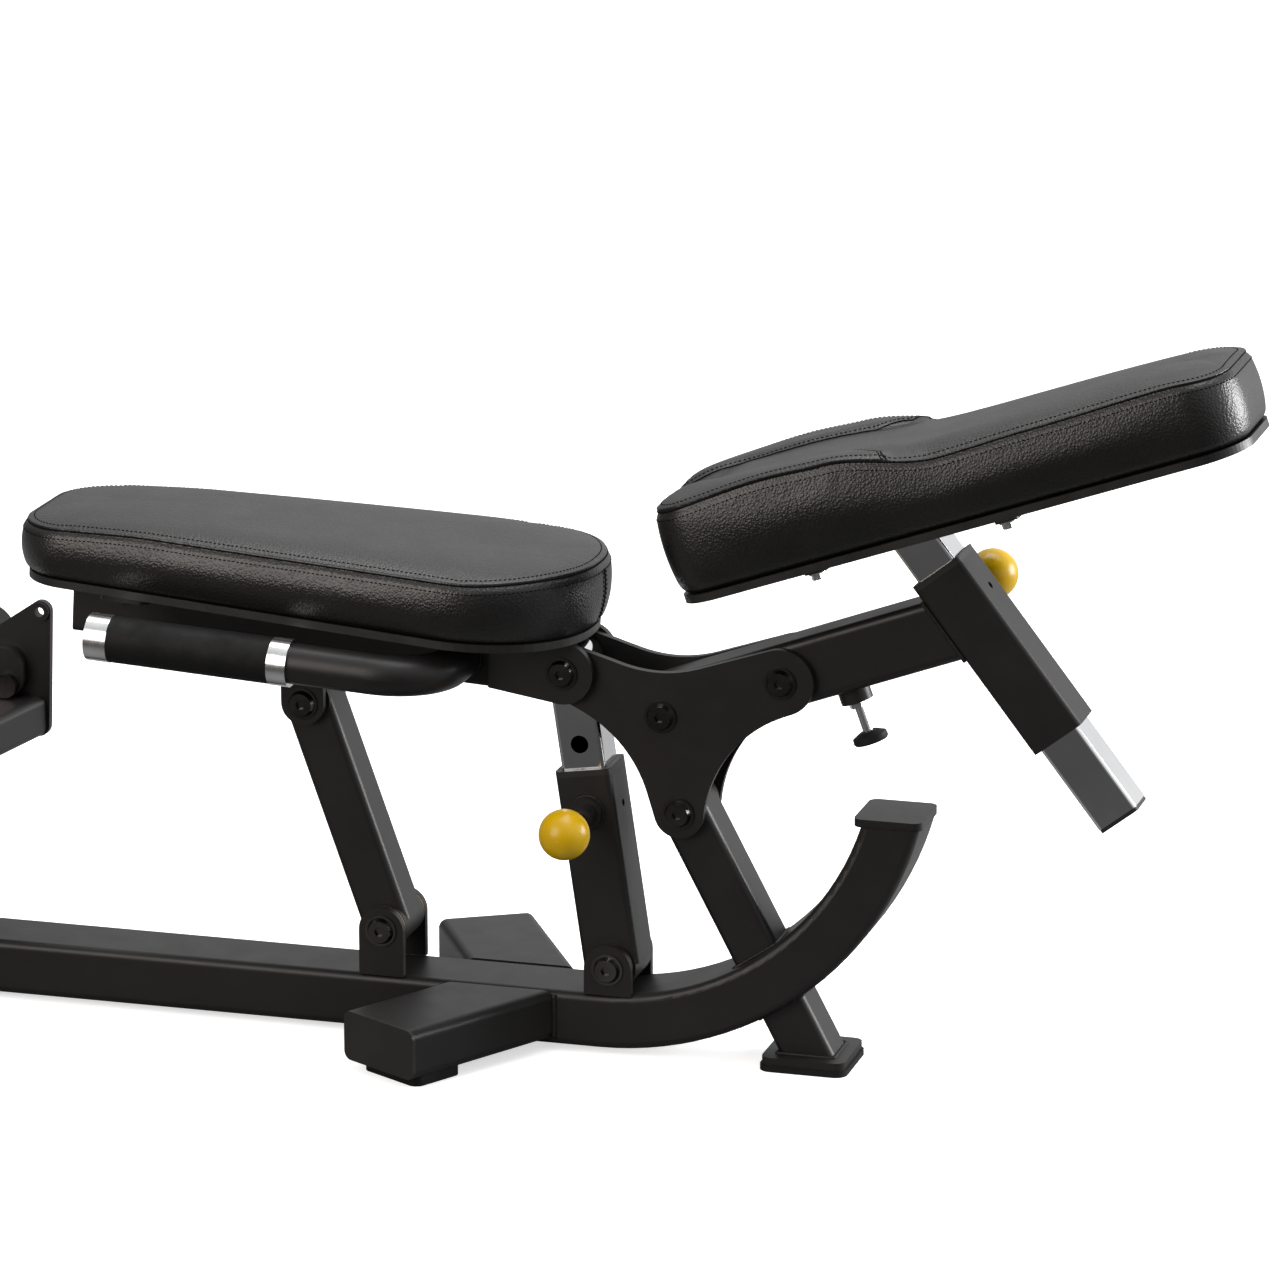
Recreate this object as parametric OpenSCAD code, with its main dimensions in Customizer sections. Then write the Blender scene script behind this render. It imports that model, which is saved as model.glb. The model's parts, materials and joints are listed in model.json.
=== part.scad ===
// Adjustable weight bench with a linked seat and backrest.
// X runs along the bench, Y across it and Z up. The floor is Z = 0.

/* [Main beam] */
// Width of the main beam
beam_w = 80; // [70:1:90]
// Height of the main beam
beam_h = 56; // [50:1:60]
// Height of the beam's underside above the floor
beam_lift = 6; // [5:0.5:8]
// Wall of the welded tubes
wall = 3; // [2:0.5:4]
// Radius on the centre line of the curved tail
tail_r = 304.5; // [295:0.5:315]
// Where the straight beam ends and the tail begins
tail_start = 78; // [60:1:90]
// Height of the top of the plate on the tail
end_plate_top = 263; // [255:1:268]

/* [Feet] */
// Width of each outrigger
outrigger_w = 100; // [80:1:110]
// Height of each outrigger
outrigger_h = 50; // [46:1:52]
// Length of each outrigger from the beam's centre
outrigger_len = 204; // [180:1:240]
// Angle that the outriggers sweep towards the front
outrigger_sweep = 30; // [15:1:35]
// Length of the front cross foot
front_foot_len = 420; // [360:10:520]
// Half of the bench's whole length
half_length = 717.5; // [710:0.1:730]

/* [Linkage] */
// Side of the square link and rear leg tubes
link_w = 50; // [46:1:52]
// Side of the square sleeve tubes
sleeve_w = 57; // [56:0.5:60]
// Side of the chromed tubes
chrome_w = 45; // [43:0.5:46]
// Width of the arm tube between the shaped plates
arm_w = 54; // [52:1:56]
// Height of the arm tube
arm_h = 64; // [60:1:66]
// Thickness of the pivot plates
plate_t = 8; // [6:0.5:8]
// Radius of the pivot bolts
bolt_r = 7; // [6:0.5:8]
// Radius of the bolt heads
head_r = 14.5; // [13:0.5:16]
// Distance between the holes in the chromed tubes
hole_pitch = 33.5; // [30:0.5:36]
// Radius of the holes in the chromed tubes
hole_r = 9; // [8:0.5:10]
// Slope of the post and its sleeve below level
post_drop = 52.1; // [50:0.1:54]

/* [Seat] */
// Downward slope of the seat towards the backrest
seat_tilt = 3.3; // [2:0.1:5]
// Half width of the seat at its front
seat_front_hw = 98; // [90:1:110]
// Half width of the seat at its rear
seat_rear_hw = 132; // [120:1:140]
// Thickness of the plywood boards
board_t = 8; // [6:1:12]

/* [Backrest] */
// Slope of the backrest above level
back_tilt = 18.8; // [17:0.1:20]
// Half width of the backrest at its lower end
back_low_hw = 103; // [95:1:115]
// Half width of the backrest at its upper end
back_top_hw = 86; // [80:1:100]
// Thickness of the cushion at its lower end
back_low_t = 85; // [75:1:90]
// Thickness of the cushion at its upper end
back_top_t = 71; // [62:1:76]

/* [Knobs and rollers] */
// Radius of the ball knobs
knob_r = 25; // [20:1:26]
// Radius of the foam rollers
roller_r = 40; // [35:1:44]
// Length of each foam roller
roller_len = 125; // [100:5:160]

/* [Hidden] */
$fn = 64;
gap = 0.3;
run = 0.05;
eps = 0.01;

// Pivot centres, as [x, z]
link_foot = [-145.6, 108.7];
link_head = [-226.1, 334.8];
strut_foot = [88, 89];
strut_head = [43.7, 388.2];
leg_head = [158.9, 253.1];
hub = [140.9, 349.8];
arm_bolt = [260.6, 392.6];
arm_tilt = 20;
yoke_pivot = [-584, 296];

// Heights and derived frame sizes
beam_top = beam_lift + beam_h;
tail_z = beam_lift + beam_h / 2 + tail_r;
tail_sweep = 84;
end_plate_t = 8;
end_plate_len = 68;
foot_t = 8;
foot_pad_h = 12;
front_foot_w = 60;
front_foot_x = -half_length + front_foot_w / 2;
post_x = -612;
post_top = 240;
tube_edge = 8;
leg_lean = 28;
foot_plate_w = 84;
foot_plate_x = 286;

// Cross positions of the plates, as distances from the middle plane
ear_in = 32;
shaped_in = arm_w / 2;
shaped_out = shaped_in + plate_t;
seat_plate_in = shaped_out + 2;
seat_plate_out = seat_plate_in + plate_t;
head_ear_in = link_w / 2 + 3;
bracket_y = 96;
lug_t = 16;

// Strut
strut_vec = strut_head - strut_foot;
strut_len = norm(strut_vec);
strut_lean = atan2(-strut_vec[0], strut_vec[1]);
strut_outer_len = 194;
guide_h = 6;
pin_bore = 8;
pin_rod_r = 6;
screw_hole_r = 3.6;
pin_below_cap = 42;
strut_pin_s = strut_outer_len + guide_h - pin_below_cap;
strut_inner_foot = 62;
strut_clear_r = bolt_r + 5.6;
link_clear_r = bolt_r + 7;

// Post and sleeve
sleeve_top = [410.4, 511.9];
sleeve_len = 193;
post_below = 95;
post_above = 44;

// Stop screw under the arm, which stands a little above the line of its bolts
arm_rise = 2;
stop_x = 184;
stop_boss_h = 14;
stop_r = 5;
stop_len = 45.5;

// Seat, in a frame with its origin at the strut's head
rail_w = 2 * seat_plate_in;
rail_h = 50;
rail_n = -1;
rail_front = -509;
rail_rear = -46;
seat_bottom = 31.5;
seat_front = -562;
seat_rear = 27;
seat_front_r = 62;
seat_rear_r = 126;
seat_top_front = 99;
seat_top_rear = 105;
strap_t = seat_bottom - rail_n - rail_h / 2;
handle_y = 130;
handle_r = 20;
grip_r = 23.5;
grip_rear = -247;
grip_front = -455;
cap_len = 23;
collar_len = 19.5;
handle_bend_r = 62;
handle_end = -105;

// Backrest, in a frame with its origin where the post meets the board
back_front = -226;
back_rear = 358;
back_front_r = 46;
back_rear_r = 52;
mount_t = 6;
back_strap_t = 2.5;
bolster_h = 12;
back_bolts = [-80, 115];
back_bolt_y = 80;

// Front roller yoke
yoke_reach = 92;
yoke_y = 106;
yoke_bar_r = 12.5;
roller_in = 128;
yoke_bar_half = roller_in + roller_len + 8;

// ---- Placing ----

module at(p) { translate([p[0], 0, p[1]]) children(); }

// Turns a shape in the XZ plane so that positive angles lift its +X end.
module lift(a) { rotate([0, -a, 0]) children(); }

module both_sides() {
    children();
    mirror([0, 1, 0]) children();
}

module in_seat() { at(strut_head) lift(-seat_tilt) children(); }

module in_strut() { at(strut_foot) lift(strut_lean) children(); }

module in_arm() { at(hub) lift(arm_tilt) children(); }

// Origin at the top of the post's sleeve, with +Z up along the post.
module in_post() { at(sleeve_top) lift(90 - post_drop) children(); }

module in_back() {
    at(sleeve_top + post_above * [-cos(post_drop), sin(post_drop)]) lift(back_tilt) children();
}

// ---- Basic shapes ----

module rounded_rect(w, h, r) {
    square([w - 2 * r, h], center = true);
    square([w, h - 2 * r], center = true);
    for (x = [-1, 1], y = [-1, 1]) {
        translate([x * (w / 2 - r), y * (h / 2 - r)]) circle(r);
    }
}

module tube_profile(w, h, r = tube_edge, t = wall) {
    difference() {
        rounded_rect(w, h, r);
        rounded_rect(w - 2 * t, h - 2 * t, r - t);
    }
}

// Hollow tube that rises along +Z, w across X and d across Y.
module tube(w, d, len, r = tube_edge, t = wall) {
    linear_extrude(len) tube_profile(w, d, r, t);
}

module bar(w, d, len, r = tube_edge) {
    linear_extrude(len) rounded_rect(w, d, r);
}

// Cylinder along Y from y0 to y1.
module y_rod(r, y0, y1) {
    translate([0, y0, 0]) rotate([-90, 0, 0]) cylinder(r = r, h = y1 - y0);
}

module y_ring(r, bore, y0, y1) {
    difference() {
        y_rod(r, y0, y1);
        y_rod(bore, y0 - 1, y1 + 1);
    }
}

// Flat plate parallel to XZ, from y0 outwards, from a 2D outline in X and Z.
module side_plate(y0, t = plate_t) {
    translate([0, y0 + t, 0]) rotate([90, 0, 0]) linear_extrude(t) children();
}

// Through bolt along Y with a domed socket head at each end.
module pivot_bolt(half) {
    socket_r = 5;
    socket_d = 3.5;
    head_h = 6.5;
    y_rod(bolt_r, -half, half);
    both_sides() translate([0, -half, 0]) rotate([90, 0, 0]) difference() {
        union() {
            cylinder(r = head_r + 1.5, h = 1.8);
            cylinder(r1 = head_r, r2 = head_r - 3.5, h = head_h);
        }
        translate([0, 0, head_h - socket_d]) cylinder(r = socket_r, h = socket_d + 1, $fn = 6);
    }
}

// ---- Frame ----

// Runs a 2D profile along the straight beam and up its curved tail.
module along_beam() {
    front = -half_length + front_foot_w;
    translate([front, 0, beam_lift + beam_h / 2]) rotate([0, 90, 0])
        linear_extrude(tail_start - front) children();
    difference() {
        at([tail_start, tail_z]) rotate([90, 0, 0]) rotate([0, 0, -90])
            rotate_extrude(angle = tail_sweep, $fn = 180) translate([tail_r, 0]) children();
        translate([200, -100, end_plate_top - end_plate_t]) cube([300, 200, 200]);
    }
}

module solid_beam(margin = 0) {
    along_beam() rounded_rect(beam_h + margin, beam_w + margin, tube_edge);
}

module main_beam() {
    color([0.13, 0.13, 0.13]) along_beam() tube_profile(beam_h, beam_w);
}

module beam_end_plate() {
    color([0.13, 0.13, 0.13])
        translate([368, 0, end_plate_top - end_plate_t])
        linear_extrude(end_plate_t) rounded_rect(end_plate_len, beam_w - 6, 9);
}

module rear_leg() {
    foot_level = beam_lift + foot_t;
    color([0.13, 0.13, 0.13]) difference() {
        at(leg_head) lift(leg_lean) {
            translate([0, 0, -300]) tube(link_w, link_w, 300);
            y_rod(link_w / 2, -link_w / 2, link_w / 2);
        }
        at(leg_head) y_rod(bolt_r + run, -60, 60);
        translate([100, -100, foot_level - 200]) cube([400, 200, 200]);
        solid_beam(eps);
    }
}

module rear_foot_plate() {
    color([0.13, 0.13, 0.13]) translate([foot_plate_x, 0, beam_lift])
        linear_extrude(foot_t) rounded_rect(foot_plate_w, foot_plate_w, 10);
}

module rear_foot_pad() {
    color([0.05, 0.05, 0.05]) translate([foot_plate_x, 0, 0])
        linear_extrude(beam_lift) rounded_rect(foot_plate_w + 4, foot_plate_w + 4, 12);
}

// Runs an item out along the near outrigger, and mirrors it to the other side.
module on_outriggers() {
    both_sides() translate([-2, 0, 0]) rotate([0, 0, -90 - outrigger_sweep]) children();
}

module outriggers() {
    cap = 4;
    color([0.13, 0.13, 0.13]) difference() {
        on_outriggers() translate([0, 0, foot_pad_h + outrigger_h / 2])
            rotate([0, 90, 0]) tube(outrigger_h, outrigger_w, outrigger_len - cap, 9);
        translate([-400, -beam_w / 2, 0]) cube([800, beam_w, 100]);
    }
}

module outrigger_caps() {
    plug = 18;
    cap = 4;
    color([0.06, 0.06, 0.06]) on_outriggers()
        translate([outrigger_len - cap, 0, foot_pad_h + outrigger_h / 2]) rotate([0, 90, 0]) {
            bar(outrigger_h, outrigger_w, cap, 9);
            translate([0, 0, -plug]) bar(outrigger_h - 2 * wall, outrigger_w - 2 * wall, plug, 6);
        }
}

module outrigger_feet() {
    color([0.05, 0.05, 0.05]) on_outriggers() translate([160, 0, 0])
        linear_extrude(foot_pad_h) rounded_rect(61, 79, 10);
}

module ear_outline(r, drop) {
    circle(r);
    translate([-r, -drop]) square([2 * r, drop]);
}

module beam_ears(p, r) {
    both_sides() difference() {
        at(p) side_plate(-beam_w / 2) ear_outline(r, p[1] - beam_top);
        at(p) y_rod(bolt_r, -60, 60);
        solid_beam();
    }
}

module link_ears() { color([0.13, 0.13, 0.13]) beam_ears(link_foot, 23); }

module strut_ears() { color([0.13, 0.13, 0.13]) beam_ears(strut_foot, 24); }

module front_post() {
    color([0.13, 0.13, 0.13]) translate([post_x, 0, beam_top])
        tube(link_w, link_w, post_top - beam_top);
}

module front_foot() {
    cap = 4;
    len = front_foot_len - 2 * cap;
    color([0.13, 0.13, 0.13]) translate([front_foot_x, len / 2, foot_pad_h + outrigger_h / 2])
        rotate([90, 0, 0]) tube(front_foot_w, outrigger_h, len, 5);
}

module front_foot_caps() {
    cap = 4;
    plug = 18;
    color([0.06, 0.06, 0.06]) both_sides()
        translate([front_foot_x, -front_foot_len / 2 + cap, foot_pad_h + outrigger_h / 2])
        rotate([90, 0, 0]) {
            bar(front_foot_w, outrigger_h, cap, 6);
            translate([0, 0, -plug]) bar(front_foot_w - 2 * wall, outrigger_h - 2 * wall, plug, 3);
        }
}

module front_foot_pads() {
    color([0.05, 0.05, 0.05]) both_sides() translate([front_foot_x, -front_foot_len / 2 + 45, 0])
        linear_extrude(foot_pad_h) rounded_rect(52, 60, 9);
}

module bracket_cross_tube() {
    bend = 9;
    height = 42;
    set_back = 18;
    color([0.13, 0.13, 0.13]) difference() {
        both_sides() intersection() {
            translate([post_x + set_back, 0, post_top + height / 2]) rotate([0, 0, bend])
                rotate([90, 0, 0]) translate([0, 0, -20]) tube(60, height, 160, 8);
            translate([-700, -200, 0]) cube([300, 200, 400]);
        }
        both_sides() translate([-700, -300 - bracket_y, 0]) cube([300, 300, 400]);
    }
}

module bracket_plates() {
    eye = [-552, 371];
    eye_r = 11;
    foot = [-557, 251];
    front = [-648, 251];
    front_height = 54;
    ring_t = 3;
    color([0.13, 0.13, 0.13]) both_sides() difference() {
        union() {
            side_plate(-bracket_y - plate_t) hull() {
                translate(eye) circle(eye_r);
                translate(foot) circle(12);
                translate(front) circle(12);
                translate(front + [0, front_height]) circle(12);
            }
            at(eye) y_rod(eye_r - 1, -bracket_y - 1, -bracket_y + ring_t);
        }
        at(eye) y_rod(5, -bracket_y - plate_t - 1, 0);
        at(yoke_pivot) y_rod(bolt_r, -200, 0);
    }
}

module bracket_lugs() {
    color([0.16, 0.16, 0.16]) both_sides() difference() {
        side_plate(-bracket_y, lug_t) translate([-606, 308]) rounded_rect(76, 52, 20);
        at(yoke_pivot) y_rod(bolt_r, -200, 0);
    }
}

module frame_bolts() {
    color([0.07, 0.07, 0.07]) {
        at(link_foot) pivot_bolt(beam_w / 2);
        at(strut_foot) pivot_bolt(beam_w / 2);
        both_sides() at(yoke_pivot) {
            inner = bracket_y - lug_t;
            outer = yoke_y + plate_t + 1;
            y_rod(bolt_r, -outer - 6, -inner);
            translate([0, -inner, 0]) y_rod(head_r - 2, 0, 8);
            translate([0, -outer, 0]) y_rod(head_r, -8, 0);
        }
    }
}

module frame_washers() {
    knuckle = 29.6;
    color([0.66, 0.45, 0.2]) both_sides() {
        at(link_foot) y_ring(22.6, bolt_r + run, -ear_in, -knuckle - gap);
        at(strut_foot) y_ring(23.4, bolt_r + run, -ear_in, -knuckle - gap);
        at(leg_head) y_ring(24.2, bolt_r + run, -shaped_in + gap, -link_w / 2);
    }
}

// ---- Front roller yoke ----

module yoke_arms() {
    color([0.13, 0.13, 0.13]) both_sides() at(yoke_pivot) difference() {
        side_plate(-yoke_y - plate_t) {
            circle(24);
            translate([-yoke_reach, 0]) circle(20);
            polygon([[0, 24], [-yoke_reach, 20], [-yoke_reach, -20], [0, -24]]);
        }
        y_rod(bolt_r + run, -200, 0);
        translate([-yoke_reach, 0, 0]) y_rod(yoke_bar_r, -200, 0);
    }
}

module yoke_bar() {
    color([0.75, 0.75, 0.77]) at(yoke_pivot) translate([-yoke_reach, 0, 0]) {
        y_rod(yoke_bar_r, -yoke_bar_half, yoke_bar_half);
        both_sides() {
            y_rod(28, -yoke_bar_half, -yoke_bar_half + 5);
            y_rod(20, -roller_in + 2, -yoke_y - plate_t);
        }
    }
}

module foam_roller() {
    color([0.06, 0.06, 0.06]) at(yoke_pivot) translate([-yoke_reach, 0, 0])
        y_ring(roller_r, yoke_bar_r + run, -roller_in - roller_len, -roller_in);
}

module roller_left() { foam_roller(); }

module roller_right() { mirror([0, 1, 0]) foam_roller(); }

// ---- Front link ----

module link_tube() {
    span = link_head - link_foot;
    lean = atan2(-span[0], span[1]);
    len = norm(span);
    knuckle = 29.6;
    bush_r = 23;
    color([0.13, 0.13, 0.13]) at(link_foot) lift(lean) difference() {
        union() {
            tube(link_w, link_w, len);
            y_rod(bush_r, -knuckle, knuckle);
            translate([0, 0, len]) y_rod(link_w / 2, -link_w / 2, link_w / 2);
        }
        y_rod(bolt_r + run, -60, 60);
        translate([0, 0, len]) y_rod(link_clear_r, -60, 60);
    }
}

// ---- Telescopic strut ----

module strut_sleeve() {
    knuckle = 29.6;
    color([0.13, 0.13, 0.13]) in_strut() difference() {
        union() {
            tube(sleeve_w, sleeve_w, strut_outer_len, 6, 3.5);
            y_rod(26, -sleeve_w / 2, sleeve_w / 2);
            y_rod(23, -knuckle, knuckle);
        }
        y_rod(bolt_r + run, -60, 60);
        translate([0, 0, strut_pin_s]) y_rod(pin_bore, -60, 0);
        translate([0, 0, strut_pin_s]) rotate([0, 90, 0]) cylinder(r = screw_hole_r, h = 60);
    }
}

// Plastic liner with a flange, open for the chromed tube.
module guide(top) {
    liner = 70;
    translate([0, 0, top]) linear_extrude(guide_h) difference() {
        rounded_rect(sleeve_w, sleeve_w, 6);
        rounded_rect(chrome_w + 2 * gap, chrome_w + 2 * gap, 5);
    }
    difference() {
        translate([0, 0, top - liner]) linear_extrude(liner) difference() {
            rounded_rect(sleeve_w - 7 - gap, sleeve_w - 7 - gap, 2.5);
            rounded_rect(chrome_w + 2 * gap, chrome_w + 2 * gap, 2.5);
        }
        translate([0, 0, top + guide_h - pin_below_cap]) y_rod(pin_bore, -60, 60);
    }
}

module strut_guide() { color([0.05, 0.05, 0.05]) in_strut() guide(strut_outer_len); }

// Parts of a pull pin that sticks out of a sleeve's -Y face.
module pin_barrel() {
    face = -sleeve_w / 2;
    y_ring(16, pin_bore, face - 9, face);
    y_ring(11, pin_bore, face - 24, face - 9);
    y_ring(11, pin_rod_r + gap, face - 27, face - 24);
}

// The nose stops just short of the chromed tube.
module pin_rod() {
    y_rod(pin_rod_r, -sleeve_w / 2 - 57, -sleeve_w / 2 - 10);
    y_rod(pin_bore - gap, -sleeve_w / 2 - 11, -chrome_w / 2 - 2 * gap);
}

module pin_knob() {
    ball_y = -108;
    difference() {
        translate([0, ball_y, 0]) rotate([-90, 0, 0]) rotate_extrude() difference() {
            circle(knob_r);
            translate([-2 * knob_r, -knob_r]) square(2 * knob_r);
        }
        y_rod(pin_rod_r, -sleeve_w / 2 - 57, 0);
    }
}

module strut_pin_barrel() {
    color([0.1, 0.1, 0.1]) in_strut() translate([0, 0, strut_pin_s]) pin_barrel();
}

module strut_pin() {
    color([0.6, 0.6, 0.6]) in_strut() translate([0, 0, strut_pin_s]) pin_rod();
}

module strut_knob() {
    color([0.95, 0.75, 0.05]) in_strut() translate([0, 0, strut_pin_s]) pin_knob();
}

module strut_post() {
    holes = [for (i = [-1 : 2]) strut_pin_s + i * hole_pitch];
    color([0.85, 0.86, 0.88]) in_strut() difference() {
        union() {
            translate([0, 0, strut_inner_foot])
                tube(chrome_w, chrome_w, strut_len - strut_inner_foot, 4, 3);
            translate([0, 0, strut_len]) y_rod(chrome_w / 2, -chrome_w / 2, chrome_w / 2);
        }
        translate([0, 0, strut_len]) y_rod(strut_clear_r, -60, 60);
        for (z = holes) translate([0, 0, z]) y_rod(hole_r, -60, 0);
    }
}

// ---- Backrest arm ----

module shaped_outline() {
    fillet = 130;
    hub_r = 36;
    $fn = 128;
    offset(r = -fillet) offset(r = fillet) {
        hull() {
            translate(strut_head) circle(27);
            translate(hub) circle(hub_r);
        }
        hull() {
            translate(arm_bolt) circle(33);
            translate(hub) circle(hub_r);
        }
        hull() {
            translate(leg_head) circle(25);
            translate(hub) circle(hub_r);
        }
    }
}

module shaped_plates() {
    color([0.14, 0.14, 0.14]) both_sides() difference() {
        side_plate(-shaped_out) shaped_outline();
        at(strut_head) y_rod(bolt_r + run, -60, 0);
        for (p = [leg_head, hub, arm_bolt]) at(p) y_rod(bolt_r, -60, 0);
    }
}

// The arm's tube runs from the hub's bolt to the post's sleeve.
module arm_tube() {
    start = 22;
    color([0.13, 0.13, 0.13]) difference() {
        in_arm() translate([-start, 0, arm_rise]) rotate([0, 90, 0]) tube(arm_h, arm_w, 360);
        in_stop() translate([0, 0, -2 * wall]) cylinder(r = stop_r + 1, h = 3 * wall);
        for (p = [hub, arm_bolt]) at(p) y_rod(bolt_r, -60, 60);
        in_post() translate([-sleeve_w / 2, -100, -400]) cube([400, 200, 600]);
    }
}

module arm_bolts() {
    color([0.07, 0.07, 0.07]) for (p = [hub, arm_bolt, leg_head]) {
        at(p) pivot_bolt(shaped_out);
    }
}

module arm_washers() {
    color([0.66, 0.45, 0.2]) both_sides() at(strut_head)
        y_ring(21, bolt_r + run, -shaped_in, -chrome_w / 2 - gap);
}

module post_sleeve() {
    color([0.13, 0.13, 0.13]) in_post() difference() {
        translate([0, 0, -guide_h - sleeve_len]) tube(sleeve_w, sleeve_w, sleeve_len, 6, 3.5);
        translate([0, 0, -pin_below_cap]) y_rod(pin_bore, 0, 60);
        translate([0, 0, -pin_below_cap]) rotate([0, 90, 0]) cylinder(r = screw_hole_r, h = 60);
    }
}

module post_guide() { color([0.05, 0.05, 0.05]) in_post() guide(-guide_h); }

module post_pin_barrel() {
    color([0.1, 0.1, 0.1]) in_post() mirror([0, 1, 0]) translate([0, 0, -pin_below_cap]) pin_barrel();
}

module post_pin() {
    color([0.6, 0.6, 0.6]) in_post() mirror([0, 1, 0]) translate([0, 0, -pin_below_cap]) pin_rod();
}

module post_knob() {
    color([0.95, 0.75, 0.05]) in_post() mirror([0, 1, 0]) translate([0, 0, -pin_below_cap])
        pin_knob();
}

// Origin where the stop screw's axis leaves the arm's underside, +Z down.
module in_stop() {
    in_arm() translate([stop_x, 0, arm_rise - arm_h / 2]) rotate([180, 0, 0]) children();
}

module stop_boss() {
    color([0.13, 0.13, 0.13]) in_stop() difference() {
        cylinder(r = 16, h = stop_boss_h);
        translate([0, 0, -1]) cylinder(r = stop_r + run, h = stop_boss_h + 2);
    }
}

module stop_nut() {
    color([0.75, 0.76, 0.78]) in_stop() translate([0, 0, stop_boss_h]) difference() {
        cylinder(r = 9.8, h = 6, $fn = 6);
        translate([0, 0, -1]) cylinder(r = stop_r + run, h = 8);
    }
}

module stop_screw() {
    color([0.75, 0.76, 0.78]) in_stop() cylinder(r = stop_r, h = stop_len);
}

module stop_pad() {
    color([0.05, 0.05, 0.05]) in_stop() translate([0, 0, stop_len]) rotate_extrude()
        polygon([[0, 0], [9, 0], [17, 4], [17.5, 9], [16, 11], [0, 11]]);
}

// ---- Seat ----

module seat_rail() {
    color([0.13, 0.13, 0.13]) in_seat() translate([rail_front, 0, rail_n])
        rotate([0, 90, 0]) difference() {
            bar(rail_h, rail_w, rail_rear - rail_front, 5);
            translate([0, 0, wall]) bar(rail_h - 2 * wall, rail_w - 2 * wall, 600, 2);
        }
}

module seat_side_plates() {
    lobe_r = 31;
    weld_x = -74;
    color([0.14, 0.14, 0.14]) in_seat() both_sides() difference() {
        side_plate(-seat_plate_out) hull() {
            circle(lobe_r);
            translate([weld_x + 2, -22]) circle(2);
            translate([weld_x + 2, 20]) circle(2);
        }
        y_rod(bolt_r, -60, 0);
    }
}

module link_head_ears() {
    ear_r = 22;
    color([0.13, 0.13, 0.13]) both_sides() difference() {
        intersection() {
            at(link_head) side_plate(-head_ear_in - plate_t) {
                circle(ear_r);
                translate([-ear_r, 0]) square([2 * ear_r, 60]);
            }
            in_seat() translate([-400, -60, -200 + rail_n - rail_h / 2]) cube([200, 120, 200]);
        }
        at(link_head) y_rod(bolt_r, -60, 0);
    }
}

module seat_bolts() {
    color([0.07, 0.07, 0.07]) {
        at(strut_head) pivot_bolt(seat_plate_out);
        at(link_head) pivot_bolt(head_ear_in + plate_t);
    }
}

module seat_washers() {
    color([0.66, 0.45, 0.2]) both_sides() {
        at(strut_head) y_ring(26.4, bolt_r, -seat_plate_in, -shaped_out - gap);
        at(link_head) y_ring(21, bolt_r, -head_ear_in, -link_w / 2 - gap);
    }
}

module handle_path(r) {
    translate([grip_front + 4, -handle_y, 0]) rotate([0, 90, 0])
        cylinder(r = r, h = handle_end - handle_bend_r - grip_front - 4);
    translate([handle_end - handle_bend_r, -handle_y + handle_bend_r, 0]) rotate([0, 0, -90])
        rotate_extrude(angle = 90, $fn = 96) translate([handle_bend_r, 0]) circle(r);
    translate([handle_end, -handle_y + handle_bend_r, 0]) rotate([-90, 0, 0])
        cylinder(r = r, h = 80);
}

module handle_tubes() {
    color([0.13, 0.13, 0.13]) in_seat() both_sides() difference() {
        handle_path(handle_r);
        handle_path(handle_r - wall);
        translate([-300, -rail_w / 2, -100]) cube([400, 200, 200]);
    }
}

module handle_grips() {
    color([0.07, 0.07, 0.07]) in_seat() both_sides() difference() {
        translate([grip_front + cap_len, -handle_y, 0]) rotate([0, 90, 0])
            cylinder(r = grip_r - 0.5, h = grip_rear - collar_len - grip_front - cap_len);
        handle_path(handle_r);
    }
}

module grip_ring(x, len) {
    translate([x, -handle_y, 0]) rotate([0, 90, 0]) cylinder(r = grip_r, h = len);
}

module grip_rings() {
    grub_r = 2;
    color([0.82, 0.83, 0.85]) in_seat() both_sides() difference() {
        union() {
            grip_ring(grip_front, cap_len);
            grip_ring(grip_rear - collar_len, collar_len);
        }
        handle_path(handle_r);
        for (x = [grip_front + cap_len / 2, grip_rear - collar_len / 2]) translate([x, -handle_y, 0])
            rotate([60, 0, 0]) translate([0, 0, -grip_r - 1]) cylinder(r = grub_r, h = 4);
    }
}

module seat_straps() {
    top = seat_bottom - strap_t;
    color([0.13, 0.13, 0.13]) in_seat() for (x = [-440, -160]) {
        translate([x, 0, top]) difference() {
            linear_extrude(strap_t) rounded_rect(50, 170, 8);
            both_sides() translate([0, -68, -1]) cylinder(r = 4.2, h = 20);
        }
        both_sides() translate([x, -68, top]) rotate([180, 0, 0])
            cylinder(r1 = 9, r2 = 6.5, h = 5);
    }
}

module seat_corners(inset, z0, z1, z_rear) {
    for (y = [-1, 1]) {
        translate([seat_front + seat_front_r, y * (seat_front_hw - seat_front_r), z0])
            cylinder(r = seat_front_r - inset, h = z1 - z0);
        translate([seat_rear - seat_rear_r, y * (seat_rear_hw - seat_rear_r), z0])
            cylinder(r = seat_rear_r - inset, h = z_rear - z0);
    }
}

module seat_board() {
    color([0.09, 0.09, 0.09]) in_seat()
        hull() seat_corners(9, seat_bottom, seat_bottom + board_t, seat_bottom + board_t);
}

module seat_pad() {
    low = seat_bottom + board_t;
    edge = 9;
    color([0.11, 0.11, 0.11]) in_seat() hull() {
        seat_corners(7, low, seat_top_front - edge, seat_top_rear - edge);
        seat_corners(0, low + 24, seat_top_front - 2 * edge, seat_top_rear - 2 * edge);
        seat_corners(18, low, seat_top_front, seat_top_rear);
    }
}

// ---- Backrest ----

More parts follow.
